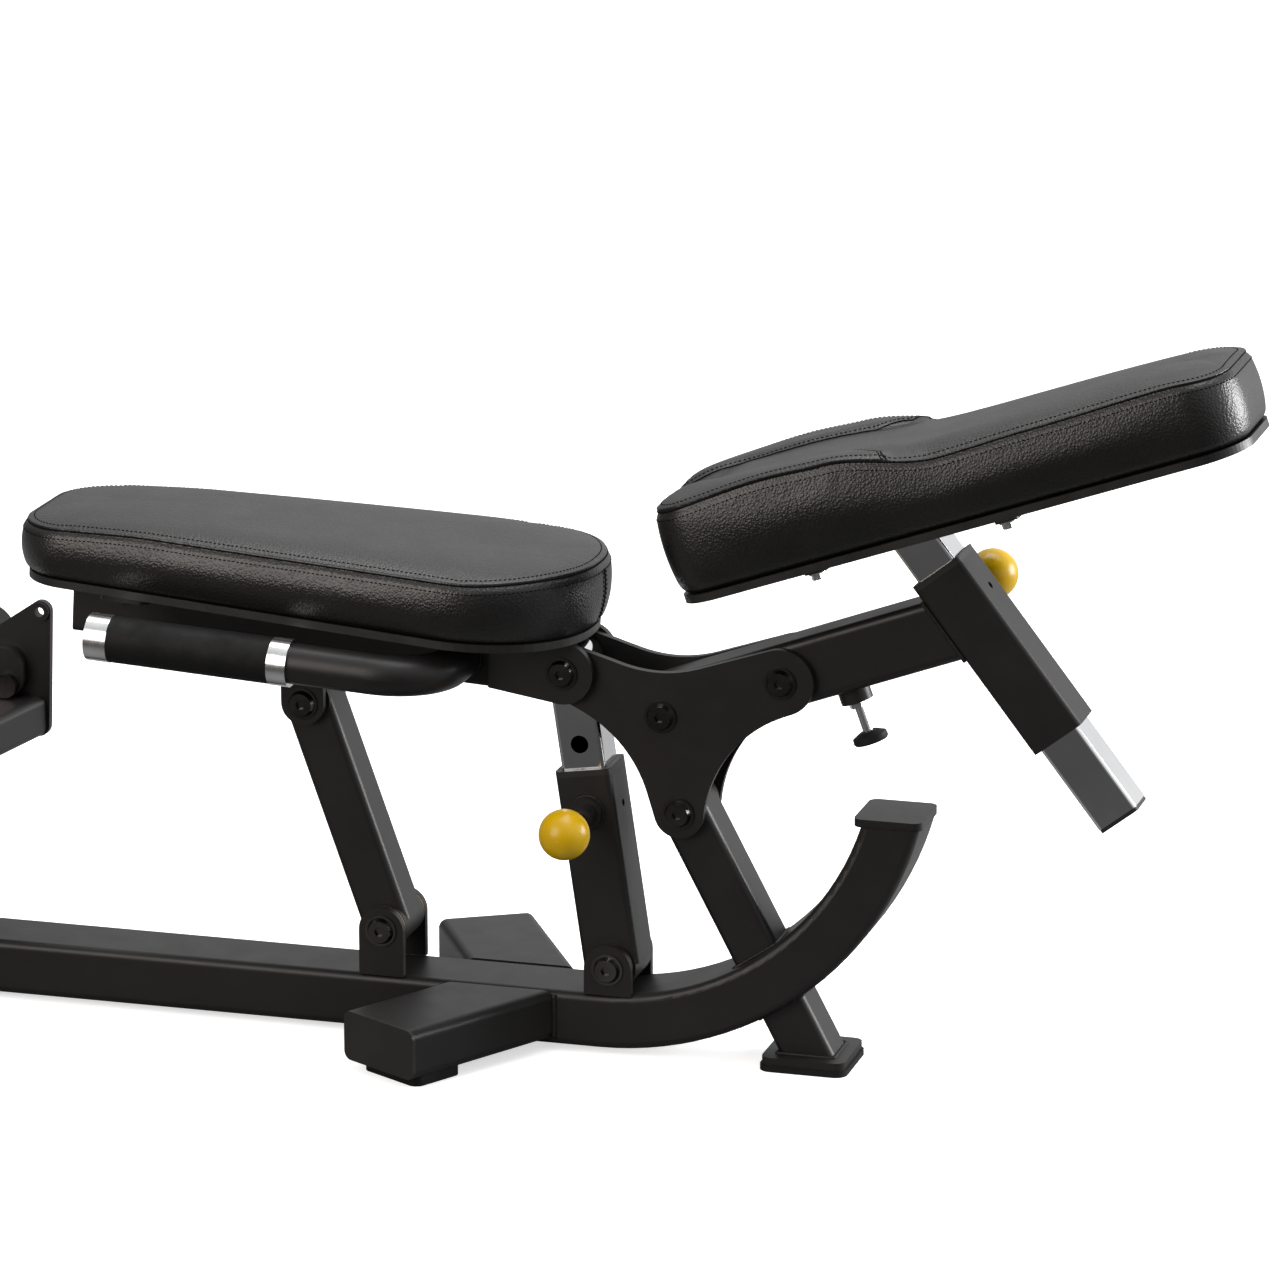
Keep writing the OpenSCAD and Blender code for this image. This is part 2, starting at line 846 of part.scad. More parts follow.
module back_post() {
    len = post_above + guide_h + sleeve_len + post_below - mount_t;
    holes = [for (i = [0 : 2]) -pin_below_cap - i * hole_pitch];
    color([0.85, 0.86, 0.88]) difference() {
        in_post() difference() {
            translate([0, 0, -guide_h - sleeve_len - post_below])
                tube(chrome_w, chrome_w, len + 40, 4, 3);
            for (z = holes) translate([0, 0, z]) y_rod(hole_r, 0, 60);
        }
        in_back() translate([-200, -100, -mount_t]) cube([400, 200, 200]);
    }
}

module back_post_plug() {
    flange = 4;
    color([0.06, 0.06, 0.06]) in_post() {
        translate([0, 0, -guide_h - sleeve_len - post_below - flange])
            bar(chrome_w - 1, chrome_w - 1, flange, 4);
        translate([0, 0, -guide_h - sleeve_len - post_below]) bar(chrome_w - 6, chrome_w - 6, 14, 1.5);
    }
}

module back_mount() {
    color([0.13, 0.13, 0.13]) in_back() difference() {
        union() {
            translate([17, 0, -mount_t]) linear_extrude(mount_t) rounded_rect(230, 70, 8);
            for (x = back_bolts) translate([x, 0, -back_strap_t]) linear_extrude(back_strap_t)
                rounded_rect(24, 178, 6);
        }
        for (x = back_bolts) both_sides() translate([x, -back_bolt_y, -20]) cylinder(r = 4.2, h = 40);
    }
}

module back_bolts() {
    washer_h = 1.6;
    color([0.6, 0.6, 0.6]) in_back() both_sides() for (x = back_bolts) {
        translate([x, -back_bolt_y, -back_strap_t]) rotate([180, 0, 0]) {
            cylinder(r = 9, h = washer_h);
            translate([0, 0, washer_h]) cylinder(r = 7.5, h = 5.5, $fn = 6);
        }
        translate([x, -back_bolt_y, -back_strap_t]) cylinder(r = 4.1, h = back_strap_t);
    }
}

module back_corners(inset, z0, z_low, z_top) {
    for (y = [-1, 1]) {
        translate([back_front + back_front_r, y * (back_low_hw - back_front_r), z0])
            cylinder(r = back_front_r - inset, h = z_low - z0);
        translate([back_rear - back_rear_r, y * (back_top_hw - back_rear_r), z0])
            cylinder(r = back_rear_r - inset, h = z_top - z0);
    }
}

module back_board() {
    color([0.09, 0.09, 0.09]) in_back() hull() back_corners(5, 0, board_t, board_t);
}

module back_pad() {
    edge = 10;
    low = board_t + back_low_t;
    top = board_t + back_top_t;
    color([0.11, 0.11, 0.11]) in_back() {
        hull() {
            back_corners(4, board_t, low - edge, top - edge);
            back_corners(0, board_t + 12, low - 2 * edge, top - 2 * edge);
            back_corners(20, board_t, low, top);
        }
        both_sides() hull() {
            translate([back_front + 60, -back_low_hw + 45, board_t + 20])
                cylinder(r = 32, h = back_low_t - 20 + bolster_h / 3);
            translate([-70, -back_low_hw + 40, board_t + 20])
                cylinder(r = 34, h = back_low_t - 20 + bolster_h);
            translate([20, -back_low_hw + 36, board_t + 20])
                cylinder(r = 22, h = back_low_t - 24);
        }
    }
}

main_beam();
beam_end_plate();
rear_leg();
rear_foot_plate();
rear_foot_pad();
outriggers();
outrigger_caps();
outrigger_feet();
link_ears();
strut_ears();
front_post();
front_foot();
front_foot_caps();
front_foot_pads();
bracket_cross_tube();
bracket_plates();
bracket_lugs();
frame_bolts();
frame_washers();
yoke_arms();
yoke_bar();
roller_left();
roller_right();
link_tube();
strut_sleeve();
strut_guide();
strut_pin_barrel();
strut_pin();
strut_knob();
strut_post();
shaped_plates();
arm_tube();
arm_bolts();
arm_washers();
post_sleeve();
post_guide();
post_pin_barrel();
post_pin();
post_knob();
stop_boss();
stop_nut();
stop_screw();
stop_pad();
seat_rail();
seat_side_plates();
link_head_ears();
seat_bolts();
seat_washers();
handle_tubes();
handle_grips();
grip_rings();
seat_straps();
seat_board();
seat_pad();
back_post();
back_post_plug();
back_mount();
back_board();
back_pad();
back_bolts();
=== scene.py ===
"""Looks for the adjustable weight bench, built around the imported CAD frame.

Run by Blender 4.5. All lengths are in metres, in the CAD's own frame: X along the bench
from the roller yoke to the backrest, Y across it, Z up, floor at Z = 0.
"""

import json
import math
import random

import bmesh
import bpy
from mathutils import Matrix, Vector
from mathutils.bvhtree import BVHTree


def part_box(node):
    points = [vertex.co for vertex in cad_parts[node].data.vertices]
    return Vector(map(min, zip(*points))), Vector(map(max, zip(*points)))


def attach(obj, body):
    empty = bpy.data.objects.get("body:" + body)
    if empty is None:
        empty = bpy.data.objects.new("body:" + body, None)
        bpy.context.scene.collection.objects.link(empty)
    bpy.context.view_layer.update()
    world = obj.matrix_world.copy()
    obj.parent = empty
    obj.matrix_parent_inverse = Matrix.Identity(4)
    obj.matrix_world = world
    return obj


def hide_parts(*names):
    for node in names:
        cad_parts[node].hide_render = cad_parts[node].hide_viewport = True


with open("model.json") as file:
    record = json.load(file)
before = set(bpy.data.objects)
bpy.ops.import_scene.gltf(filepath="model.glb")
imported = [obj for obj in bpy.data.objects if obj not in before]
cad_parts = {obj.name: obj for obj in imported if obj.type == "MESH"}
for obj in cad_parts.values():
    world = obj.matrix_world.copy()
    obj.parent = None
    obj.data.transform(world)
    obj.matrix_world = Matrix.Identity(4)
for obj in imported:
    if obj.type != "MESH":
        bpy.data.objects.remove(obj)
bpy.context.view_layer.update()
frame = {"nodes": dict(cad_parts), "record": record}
nodes = frame["nodes"]


# ---- Camera ----

def add_camera():
    """Long lens from the near side, a little to the right and above."""
    azimuth, elevation = math.radians(16.1), math.radians(15.1)
    target = Vector((0.0976, 0.0431, 0.4034))
    out = Vector((
        math.sin(azimuth) * math.cos(elevation),
        -math.cos(azimuth) * math.cos(elevation),
        math.sin(elevation),
    ))
    data = bpy.data.cameras.new("camera")
    data.lens = 182.8
    data.sensor_width = 36
    data.clip_end = 50
    camera = bpy.data.objects.new("camera", data)
    camera.location = target + out * 6.3725
    camera.rotation_euler = (-out).to_track_quat("-Z", "Y").to_euler()
    bpy.context.scene.collection.objects.link(camera)
    bpy.context.scene.camera = camera


add_camera()


# ---- Materials ----

class Finish:
    """A Principled material with a few procedural layers, in object coordinates."""

    def __init__(self, name, rough, metal=0.0, specular=0.5):
        self.mat = bpy.data.materials.new(name)
        self.mat.use_nodes = True
        self.tree = self.mat.node_tree
        self.bsdf = self.tree.nodes["Principled BSDF"]
        self.bsdf.inputs["Metallic"].default_value = metal
        self.bsdf.inputs["Specular IOR Level"].default_value = specular
        self.bsdf.inputs["Roughness"].default_value = rough
        self.coords = self.add("ShaderNodeTexCoord").outputs["Object"]
        self.normal = None

    def add(self, kind, **inputs):
        node = self.tree.nodes.new(kind)
        for name, value in inputs.items():
            self.set(node, name.replace("_", " "), value)
        return node

    def set(self, node, name, value):
        socket = node.inputs[name]
        if isinstance(value, bpy.types.NodeSocket):
            self.tree.links.new(value, socket)
        else:
            socket.default_value = value

    def stretched(self, scale):
        return self.add("ShaderNodeMapping", Vector=self.coords, Scale=scale).outputs[0]

    def noise(self, scale, detail=3.0, rough=0.5, coords=None):
        node = self.add("ShaderNodeTexNoise", Vector=coords or self.coords,
                        Scale=scale, Detail=detail, Roughness=rough)
        return node.outputs[0]

    def cells(self, scale, coords=None):
        node = self.add("ShaderNodeTexVoronoi", Vector=coords or self.coords, Scale=scale)
        return node.outputs["Distance"]

    def remap(self, value, low, high, start=0.3, end=0.7):
        node = self.add("ShaderNodeMapRange", Value=value)
        for key, number in zip(("From Min", "From Max", "To Min", "To Max"),
                               (start, end, low, high)):
            node.inputs[key].default_value = number
        return node.outputs[0]

    def colour(self, value, dark, light):
        ramp = self.add("ShaderNodeValToRGB", Fac=value)
        for element, position, shade in zip(ramp.color_ramp.elements, (0.35, 0.65), (dark, light)):
            element.position = position
            element.color = (*shade, 1)
        self.set(self.bsdf, "Base Color", ramp.outputs[0])

    def rough(self, value, low, high):
        self.set(self.bsdf, "Roughness", self.remap(value, low, high))

    def bump(self, height, strength, distance):
        node = self.add("ShaderNodeBump", Height=height, Strength=strength, Distance=distance)
        if self.normal is not None:
            self.set(node, "Normal", self.normal)
        self.normal = node.outputs[0]
        self.set(self.bsdf, "Normal", self.normal)


def powder_coat():
    """Satin black powder coat: fine orange peel, faint handling marks."""
    f = Finish("black_coat", 0.4, specular=0.34)
    f.colour(f.noise(9.0), (0.0085, 0.0075, 0.0075), (0.012, 0.0108, 0.0105))
    f.rough(f.noise(28.0, 5.0, 0.6), 0.37, 0.44)
    f.bump(f.noise(900.0, 2.0), 0.2, 0.0002)
    return f.mat


def leather():
    """Pebbled black upholstery leather: small cells, pores and soft gloss changes."""
    f = Finish("leather", 0.38, specular=0.5)
    f.colour(f.noise(6.0, 4.0), (0.0055, 0.0050, 0.0050), (0.0095, 0.0086, 0.0083))
    f.rough(f.noise(22.0, 6.0, 0.6), 0.30, 0.38)
    warp = f.add("ShaderNodeVectorMath")
    warp.operation = "ADD"
    swirl = f.add("ShaderNodeTexNoise", Vector=f.coords, Scale=260.0, Detail=2.0)
    small = f.add("ShaderNodeVectorMath")
    small.operation = "SCALE"
    f.set(small, "Scale", 0.0011)
    f.set(small, 0, swirl.outputs[1])
    f.set(warp, 0, f.coords)
    f.set(warp, 1, small.outputs[0])
    pebbles = f.cells(390.0, coords=warp.outputs[0])
    f.bump(f.remap(pebbles, 1.0, 0.0, 0.1, 0.7), 0.55, 0.0004)
    f.bump(f.cells(1000.0), 0.15, 0.0001)
    f.bump(f.noise(30.0, 3.0), 0.25, 0.0014)
    return f.mat


def chrome():
    """Bright plating, very slightly uneven."""
    f = Finish("chrome", 0.06, metal=1.0)
    f.colour(f.noise(14.0), (0.76, 0.77, 0.79), (0.86, 0.865, 0.875))
    f.rough(f.noise(60.0, 4.0), 0.045, 0.11)
    f.bump(f.noise(25.0, 2.0), 0.03, 0.0004)
    return f.mat


def turned_metal(name, dark, light, rough, ring_scale):
    """Machined metal with fine tool marks."""
    f = Finish(name, rough, metal=1.0)
    f.colour(f.noise(30.0), dark, light)
    marks = f.noise(ring_scale, 3.0, coords=f.stretched((1.0, 0.02, 0.02)))
    f.rough(marks, rough - 0.04, rough + 0.05)
    f.bump(marks, 0.06, 0.0001)
    return f.mat


def plastic(name, dark, light, low, high, peel, specular=0.5, metal=0.0):
    """Smooth moulded or plated surface whose roughness wanders from low to high."""
    f = Finish(name, low, metal=metal, specular=specular)
    f.colour(f.noise(18.0), dark, light)
    f.rough(f.noise(45.0, 4.0), low, high)
    f.bump(f.noise(700.0, 2.0), peel, 0.0002)
    return f.mat


def rubber(name, grain=700.0, specular=0.3):
    """Matte black rubber with a fine texture."""
    f = Finish(name, 0.7, specular=specular)
    f.colour(f.noise(20.0, 4.0), (0.003, 0.0029, 0.0028), (0.005, 0.0048, 0.0047))
    f.rough(f.noise(60.0, 4.0), 0.58, 0.78)
    f.bump(f.cells(grain), 0.2, 0.0002)
    return f.mat


def foam():
    """Closed-cell foam sleeve with open pores."""
    f = Finish("foam", 0.85, specular=0.25)
    f.colour(f.noise(30.0, 5.0), (0.010, 0.010, 0.010), (0.020, 0.020, 0.019))
    f.rough(f.noise(80.0, 4.0), 0.75, 0.92)
    f.bump(f.cells(620.0), 0.5, 0.0005)
    f.bump(f.noise(40.0, 3.0), 0.3, 0.001)
    return f.mat


def cast_bead():
    """Weld metal under the black coat."""
    f = Finish("weld_bead", 0.45, specular=0.3)
    f.colour(f.noise(60.0, 4.0), (0.0075, 0.0068, 0.0066), (0.012, 0.0108, 0.0105))
    f.rough(f.noise(120.0, 4.0), 0.42, 0.55)
    f.bump(f.noise(420.0, 3.0), 0.3, 0.0003)
    return f.mat


FINISHES = {
    "black_coat": powder_coat(),
    "black_bolt": plastic("black_bolt", (0.070, 0.062, 0.064), (0.11, 0.10, 0.10),
                          0.18, 0.26, 0.03, metal=1.0),
    "black_plastic": plastic("black_plastic", (0.008, 0.0078, 0.0076), (0.013, 0.0125, 0.012),
                             0.38, 0.5, 0.12),
    "board": plastic("board", (0.006, 0.0058, 0.0056), (0.011, 0.0105, 0.010), 0.36, 0.48, 0.15),
    "foot_rubber": rubber("foot_rubber"),
    "grip_rubber": rubber("grip_rubber", 900.0, specular=0.22),
    "bronze": turned_metal("bronze", (0.42, 0.26, 0.10), (0.62, 0.41, 0.19), 0.32, 900.0),
    "zinc": turned_metal("zinc", (0.50, 0.52, 0.52), (0.68, 0.70, 0.70), 0.26, 700.0),
    "aluminium": turned_metal("aluminium", (0.70, 0.71, 0.72), (0.82, 0.83, 0.84), 0.20, 1400.0),
    "yellow_plastic": plastic("yellow_plastic", (0.57, 0.34, 0.0005), (0.63, 0.39, 0.001),
                              0.26, 0.34, 0.03, specular=0.4),
    "chrome": chrome(),
    "leather": leather(),
}
FOAM = foam()
BEAD = cast_bead()
# Near-black matte finish for the stitches and seam cords. Part of it is the real black thread. Part
# is painted shade: it is kept darker and duller than the leather to stand in for the shade in the
# stitch dimples and seam grooves.
THREAD_AND_GROOVE_SHADE = plastic("thread", (0.002, 0.002, 0.002), (0.005, 0.005, 0.005), 0.8, 0.95, 0.3,
                 specular=0.08)

SLOT_OF = {s["node"]: s["material_slot"] for s in frame["record"]["subparts"]}
for cad_name, cad_node in nodes.items():
    cad_node.data.materials.clear()
    cad_node.data.materials.append(FINISHES[SLOT_OF[cad_name]])


# ---- Mesh helpers ----

def new_object(name, mesh, material, body):
    """Puts a mesh in the scene, riding on a body, with its material and slot."""
    piece = bpy.data.objects.new(name, mesh)
    bpy.context.scene.collection.objects.link(piece)
    mesh.materials.append(material)
    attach(piece, body)
    return piece


def shade_smooth(mesh):
    for polygon in mesh.polygons:
        polygon.use_smooth = True


def local_frame(x, z, tilt):
    """A frame whose X runs up a slope of tilt degrees, with its origin at (x, 0, z)."""
    return Matrix.Translation((x, 0, z)) @ Matrix.Rotation(-math.radians(tilt), 4, "Y")


def smooth_step(value, start, end):
    t = min(1.0, max(0.0, (value - start) / (end - start)))
    return t * t * (3 - 2 * t)


def blend_points(value, points):
    """Smooth curve through (position, height) points."""
    if value <= points[0][0]:
        return points[0][1]
    for (u0, h0), (u1, h1) in zip(points, points[1:]):
        if value <= u1:
            return h0 + (h1 - h0) * smooth_step(value, u0, u1)
    return points[-1][1]


# ---- Cushions ----

class Outline:
    """Plan of a tapered pad: the hull of four round corners, in even steps."""

    def __init__(self, front, rear, front_hw, rear_hw, front_r, rear_r, step=0.004):
        circles = [(front + front_r, s * (front_hw - front_r), front_r) for s in (-1, 1)]
        circles += [(rear - rear_r, s * (rear_hw - rear_r), rear_r) for s in (-1, 1)]
        raw = []
        for k in range(1440):
            a = 2 * math.pi * k / 1440
            d = Vector((math.cos(a), math.sin(a)))
            c = max(circles, key=lambda q: q[0] * d.x + q[1] * d.y + q[2])
            raw.append(Vector((c[0] + c[2] * d.x, c[1] + c[2] * d.y)))
        raw.append(raw[0])
        lengths = [0.0]
        for p, q in zip(raw, raw[1:]):
            lengths.append(lengths[-1] + (q - p).length)
        self.length = lengths[-1]
        self.count = 2 * int(self.length / step / 2)
        self.points, self.normals = [], []
        j = 0
        for k in range(self.count):
            want = self.length * k / self.count
            while lengths[j + 1] < want:
                j += 1
            t = (want - lengths[j]) / max(1e-9, lengths[j + 1] - lengths[j])
            self.points.append(raw[j].lerp(raw[j + 1], t))
        for k in range(self.count):
            along = self.points[(k + 1) % self.count] - self.points[k - 1]
            self.normals.append(Vector((along.y, -along.x)).normalized())
        self.spine = (front + 1.25 * front_r, rear - 1.05 * rear_r)

    def inward(self, k, depth, share):
        """A point moved straight in by depth, then a share of the way to the spine."""
        p = self.points[k] - self.normals[k] * depth
        middle = Vector((min(self.spine[1], max(self.spine[0], p.x)), 0.0))
        return p.lerp(middle, share)


def band_depth(t, tuck, belly=0.0048):
    """How far the side band lies inside the plan, at a share t of its height."""
    fold = 0.0030 * math.exp(-(t / 0.05) ** 2) + 0.0022 * math.exp(-((1 - t) / 0.035) ** 2)
    return belly * (1 - math.sin(math.pi * t) ** 0.6) + tuck * (1 - t) ** 3 + fold


def cushion(name, place, outline, low, seam, top, body, cad_node, tuck=0.004):
    """A closed upholstered pad: underside, side band up to the seam, crowned top panel."""
    bands = 20
    rings = []
    for share in (1.0, 0.6, 0.25, 0.05):
        rings.append(("under", 0.0, share))
    for k in range(bands + 1):
        rings.append(("side", k / bands, 0.0))
    shares = [0.012, 0.025, 0.04, 0.06, 0.09, 0.125, 0.165]
    shares += [0.21 + 0.79 * k / 15 for k in range(16)]
    for share in shares:
        rings.append(("top", 0.0, share))
    mesh = bpy.data.meshes.new(name)
    bm = bmesh.new()
    mark = bm.verts.layers.int.new("hold")
    grid = []
    for kind, t, share in rings:
        row = []
        for k in range(outline.count):
            edge = outline.points[k]
            if kind == "side":
                p = outline.inward(k, band_depth(t, tuck), 0.0)
                height = low + (seam(edge.x, edge.y) - low) * t
            elif kind == "under":
                p = outline.inward(k, band_depth(0, tuck) + 0.001, share)
                height = low
            else:
                p = outline.inward(k, band_depth(1, tuck) - 0.0025, share)
                inside = (p - edge).length
                height = top(p.x, p.y, inside, seam(edge.x, edge.y))
            row.append(bm.verts.new((p.x, p.y, height)))
            row[-1][mark] = kind == "under" or (kind == "side" and (t > 0.99 or t < 0.08))
        grid.append(row)
    for lower, upper in zip(grid, grid[1:]):
        for k in range(outline.count):
            m = (k + 1) % outline.count
            bm.faces.new((lower[k], lower[m], upper[m], upper[k]))
    for row in (grid[0], grid[-1]):
        bmesh.ops.remove_doubles(bm, verts=row, dist=0.0012)
    bmesh.ops.recalc_face_normals(bm, faces=bm.faces)
    bm.to_mesh(mesh)
    bm.free()
    shade_smooth(mesh)
    mesh.transform(place)
    piece = new_object(name, mesh, FINISHES["leather"], body)
    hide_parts(cad_node)
    return piece


def inflate(piece):
    """Lets the leather belly out between its seams, then fixes the shape."""
    pressure, frames = 3.0, 15
    cap = 0.004  # no point moves further than this
    mesh = piece.data
    marks = [d.value for d in mesh.attributes["hold"].data]
    group = piece.vertex_groups.new(name="hold")
    group.add([i for i, m in enumerate(marks) if m], 1.0, "REPLACE")
    cloth = piece.modifiers.new("cloth", "CLOTH").settings
    cloth.quality = 4
    cloth.mass = 0.4
    cloth.tension_stiffness = 60
    cloth.compression_stiffness = 60
    cloth.bending_stiffness = 6
    cloth.use_pressure = True
    cloth.uniform_pressure_force = pressure
    cloth.vertex_group_mass = "hold"
    cloth.effector_weights.gravity = 0
    scene = bpy.context.scene
    for step in range(frames):
        scene.frame_set(step + 1)
    shaped = piece.evaluated_get(bpy.context.evaluated_depsgraph_get())
    moved = [v.co.copy() for v in shaped.data.vertices]
    piece.modifiers.clear()
    piece.vertex_groups.clear()
    for vertex, target in zip(mesh.vertices, moved):
        shift = target - vertex.co
        if shift.length > cap:
            shift *= cap / shift.length
        vertex.co += shift
    scene.frame_set(1)
    mesh.attributes.remove(mesh.attributes["hold"])
    mesh.update()


def add_subdivision(piece):
    piece.modifiers.new("smooth", "SUBSURF").render_levels = 1
    piece.modifiers["smooth"].levels = 1


def tube_mesh(name, spots, sizes, sides=8):
    """A round cord through the spots, with the given radius at each."""
    bm = bmesh.new()
    rows = []
    for k, (spot, size) in enumerate(zip(spots, sizes)):
        along = (spots[min(k + 1, len(spots) - 1)] - spots[max(k - 1, 0)]).normalized()
        side = along.cross(Vector((0.31, 0.17, 0.94))).normalized()
        up = along.cross(side)
        row = []
        for j in range(sides):
            a = 2 * math.pi * j / sides
            row.append(bm.verts.new(spot + (side * math.cos(a) + up * math.sin(a)) * size))
        rows.append(row)
    for lower, upper in zip(rows, rows[1:]):
        for j in range(sides):
            m = (j + 1) % sides
            bm.faces.new((lower[j], lower[m], upper[m], upper[j]))
    bm.faces.new(rows[0])
    bm.faces.new(rows[-1])
    bmesh.ops.recalc_face_normals(bm, faces=bm.faces)
    mesh = bpy.data.meshes.new(name)
    bm.to_mesh(mesh)
    bm.free()
    shade_smooth(mesh)
    return mesh


def seam_shade_cord(name, piece, place, points, body):
    """A dark matte cord along the line where two panels of leather meet: painted shade standing in
    for the seam's groove.
    """
    radius = 0.0009
    tree = BVHTree.FromObject(piece, bpy.context.evaluated_depsgraph_get())
    spots = [tree.find_nearest(place @ Vector(p))[0] for p in points]
    mesh = tube_mesh(name, spots, [radius] * len(spots))
    return new_object(name, mesh, THREAD_AND_GROOVE_SHADE, body)


def stitch_row(name, piece, place, points, body):
    """Short thread stitches along a path, each lying on the cushion's surface. Their near-black
    matte finish is partly the real thread's colour and partly painted shade for the dimples they
    sink into.
    """
    lift, pitch = 0.0002, 0.0047
    stitch = Matrix.Diagonal((0.0035, 0.0014, 0.0009, 1))
    tree = BVHTree.FromObject(piece, bpy.context.evaluated_depsgraph_get())
    world = [place @ Vector(p) for p in points]
    bm = bmesh.new()
    travelled, due = 0.0, 0.0
    for a, b in zip(world, world[1:]):
        gap = (b - a).length
        while due <= travelled + gap and gap > 0:
            spot = a.lerp(b, (due - travelled) / gap)
            hit, normal, _, _ = tree.find_nearest(spot)
            along = (b - a).normalized()
            side = normal.cross(along).normalized()
            along = side.cross(normal).normalized()
            turn = Matrix((along, side, normal)).transposed().to_4x4()
            spin = Matrix.Translation(hit + normal * lift) @ turn
            thread = bmesh.ops.create_icosphere(bm, subdivisions=1, radius=0.5)["verts"]
            bmesh.ops.transform(bm, matrix=spin @ stitch, verts=thread)
            due += pitch
        travelled += gap
    mesh = bpy.data.meshes.new(name)
    bm.to_mesh(mesh)
    bm.free()
    shade_smooth(mesh)
    return new_object(name, mesh, THREAD_AND_GROOVE_SHADE, body)


# Seat cushion. Its frame has its origin at the strut's upper pivot and X along the seat.
SEAT = local_frame(0.0437, 0.3882, -3.3)
seat_plan = Outline(-0.562, 0.027, 0.098, 0.132, 0.062, 0.126)
SEAT_LOW = 0.0400


def seat_seam(u, v):
    return blend_points(u, [(-0.562, 0.088), (-0.40, 0.0955), (-0.09, 0.097), (0.027, 0.104)])


def seat_top(u, v, inside, edge):
    plain = blend_points(u, [(-0.562, 0.089), (-0.40, 0.0955), (-0.09, 0.098), (0.027, 0.102)])
    share = smooth_step(inside, 0.0, 0.06)
    crown = 0.0095 * (1 - math.exp(-inside / 0.026))
    return edge * (1 - share) + plain * share + 0.0006 + crown


seat_pad = cushion("seat_cushion", SEAT, seat_plan, SEAT_LOW, seat_seam, seat_top,
                   "seat", "seat_pad")
inflate(seat_pad)
add_subdivision(seat_pad)

# Backrest cushion. Its frame has its origin where the post meets the board.
BACK = local_frame(0.3834, 0.5466, 18.8)
back_plan = Outline(-0.226, 0.358, 0.103, 0.086, 0.046, 0.052)
BACK_LOW = 0.0085


def back_seam(u, v):
    return blend_points(u, [(-0.226, 0.0915), (-0.10, 0.098), (-0.04, 0.0955), (0.07, 0.0735),
                            (0.16, 0.0755), (0.30, 0.078), (0.358, 0.074)])


BOLSTER_EDGE = [(-0.226, 0.012), (-0.14, 0.034), (-0.02, 0.046), (0.014, 0.062), (0.034, 0.100)]


def bolster_share(u, v):
    """1 on the side bolsters, 0 in the channel between them and above."""
    inner = blend_points(u, BOLSTER_EDGE)
    return smooth_step(abs(v), inner - 0.001, inner + 0.016) * (1 - smooth_step(u, 0.012, 0.045))


def back_top(u, v, inside, edge):
    plain = blend_points(u, [(-0.226, 0.0905), (-0.10, 0.089), (0.07, 0.0775), (0.30, 0.080),
                             (0.358, 0.075)])
    crown = 0.0065 * (1 - math.exp(-inside / 0.028))
    share = smooth_step(inside, 0.0, 0.05)
    base = edge * (1 - share) + plain * share + crown
    belly = 0.0075 * bolster_share(u, v) * (1 - math.exp(-inside / 0.02))
    return base + 0.0006 + belly


back_pad = cushion("back_cushion", BACK, back_plan, BACK_LOW, back_seam, back_top,
                   "backrest", "back_pad", 0.002)
inflate(back_pad)
add_subdivision(back_pad)


def rim_path(plan, seam, rise, depth):
    """Closed path beside the seam: rise above it on the top, or below it on the band."""
    path = []
    for k in range(plan.count + 1):
        k %= plan.count
        p = plan.points[k] - plan.normals[k] * depth
        path.append((p.x, p.y, seam(plan.points[k].x, plan.points[k].y) + rise))
    return path


# Each cushion gets a dark matte cord on its outer seam, which is painted shade of the seam groove.
# It also gets a row of stitches either side, whose near-black thread is partly painted shade for
# their dimples.
for label, piece, place, plan, seam, body in (
    ("seat", seat_pad, SEAT, seat_plan, seat_seam, "seat"),
    ("back", back_pad, BACK, back_plan, back_seam, "backrest"),
):
    seam_shade_cord(label + "_seam", piece, place, rim_path(plan, seam, 0.0004, 0.0062), body)
    stitch_row(label + "_stitches_top", piece, place, rim_path(plan, seam, 0.006, 0.012), body)
    stitch_row(label + "_stitches_side", piece, place, rim_path(plan, seam, -0.006, -0.002), body)


def upright_path(plan, low, seam, offset):
    """Line up the middle of a cushion's rear band, set to one side by offset."""
    rear = max(p.x for p in plan.points)
    top = seam(rear, 0)
    return [(rear + 0.004, offset, low + 0.004 + (top - low - 0.008) * k / 30) for k in range(31)]


# Dark matte cord up the seat's rear seam: painted shade of the seam groove. The stitches either
# side are near-black thread, partly painted dimple shade.
seam_shade_cord("seat_rear_seam", seat_pad, SEAT, upright_path(seat_plan, SEAT_LOW, seat_seam, 0), "seat")
for offset, label in ((-0.005, "near"), (0.005, "far")):
    stitch_row("seat_rear_stitches_" + label, seat_pad, SEAT,
               upright_path(seat_plan, SEAT_LOW, seat_seam, offset), "seat")


def bolster_path(side, offset):
    """Edge of the side bolster, from the pad's low end to where it meets the outer seam."""
    path = []
    for k in range(61):
        u = -0.212 + 0.244 * k / 60
        path.append((u - offset, side * (blend_points(u, BOLSTER_EDGE) + offset), 0.105))
    return path


# Dark matte cord along each bolster's seam: painted shade of the seam groove. The stitches beside
# it are near-black thread, partly painted dimple shade.
for side, label in ((-1, "near"), (1, "far")):
    seam_shade_cord("bolster_seam_" + label, back_pad, BACK, bolster_path(side, 0), "backrest")
    stitch_row("bolster_stitches_" + label, back_pad, BACK, bolster_path(side, 0.005), "backrest")


# ---- Foam rollers ----

